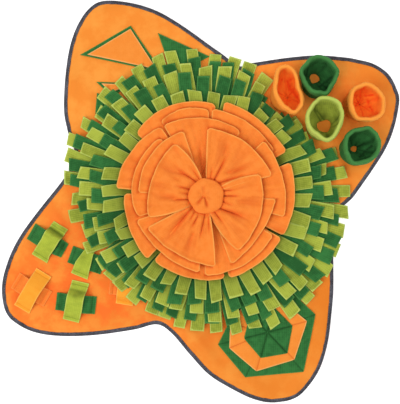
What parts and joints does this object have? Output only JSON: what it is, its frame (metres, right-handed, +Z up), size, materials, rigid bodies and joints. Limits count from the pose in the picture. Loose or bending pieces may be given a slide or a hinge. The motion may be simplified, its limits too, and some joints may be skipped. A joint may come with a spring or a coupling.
{
  "type": "snuffle mat",
  "caption": "Four-lobed cloth foraging mat with a gathered flower, two-colour cut fringe, cuffed cups, crossed straps, flat flaps and a stitched polygon nest.",
  "frame": {"origin": "on the floor, below the middle of the mat's bounding box", "axes": "+Z up from the floor, +X to the side of the cups, +Y to the far lobes, away from the crossed straps and polygon patches"},
  "size_m": [0.6996, 0.7084, 0.0603],
  "materials": {
    "orange_canvas": "plain woven synthetic canvas, matt with a slight sheen",
    "grey_tape": "dull dark grey woven binding tape",
    "orange_fleece": "brushed fleece, fully matt",
    "green_fleece": "brushed fleece, fully matt",
    "lime_fleece": "brushed fleece, fully matt",
    "yellow_fleece": "brushed fleece, fully matt"
  },
  "bodies": {
    "root": {"mat": "orange_canvas", "edge_binding": "grey_tape", "fringe_1_lime": "lime_fleece", "fringe_2_green": "green_fleece", "fringe_3_lime": "lime_fleece", "fringe_4_green": "green_fleece", "fringe_5_lime": "lime_fleece", "petal_outer_low_1": "orange_fleece", "petal_outer_low_2": "orange_fleece", "petal_outer_low_3": "orange_fleece", "petal_outer_low_4": "orange_fleece", "petal_outer_low_5": "orange_fleece", "petal_outer_1": "orange_fleece", "petal_outer_2": "orange_fleece", "petal_outer_3": "orange_fleece", "petal_outer_4": "orange_fleece", "petal_middle_low_1": "orange_fleece", "petal_middle_low_2": "orange_fleece", "petal_middle_low_3": "orange_fleece", "petal_middle_low_4": "orange_fleece", "petal_middle_1": "orange_fleece", "petal_middle_2": "orange_fleece", "petal_middle_3": "orange_fleece", "petal_top_1": "orange_fleece", "petal_top_2": "orange_fleece", "petal_top_3": "orange_fleece", "petal_top_4": "orange_fleece", "button": "orange_fleece", "cup_1_orange": "orange_fleece", "cup_2_green": "green_fleece", "cup_3_lime": "lime_fleece", "cup_4_orange": "orange_fleece", "cup_5_green": "green_fleece", "strap_1_under": "green_fleece", "strap_1_over": "lime_fleece", "strap_2_under": "orange_fleece", "strap_2_over": "yellow_fleece", "strap_3_under": "green_fleece", "strap_3_over": "lime_fleece", "strap_4_under": "green_fleece", "strap_4_over": "lime_fleece", "strap_5_under": "orange_fleece", "strap_5_over": "yellow_fleece", "flap_1_under": "green_fleece", "flap_1_over": "orange_fleece", "flap_2": "green_fleece", "flap_3_under": "green_fleece", "flap_3_over": "orange_fleece", "flap_4": "green_fleece", "patch_1_green": "green_fleece", "patch_2_orange": "orange_fleece", "patch_3_hexagon": "green_fleece"}
  },
  "joints": []
}
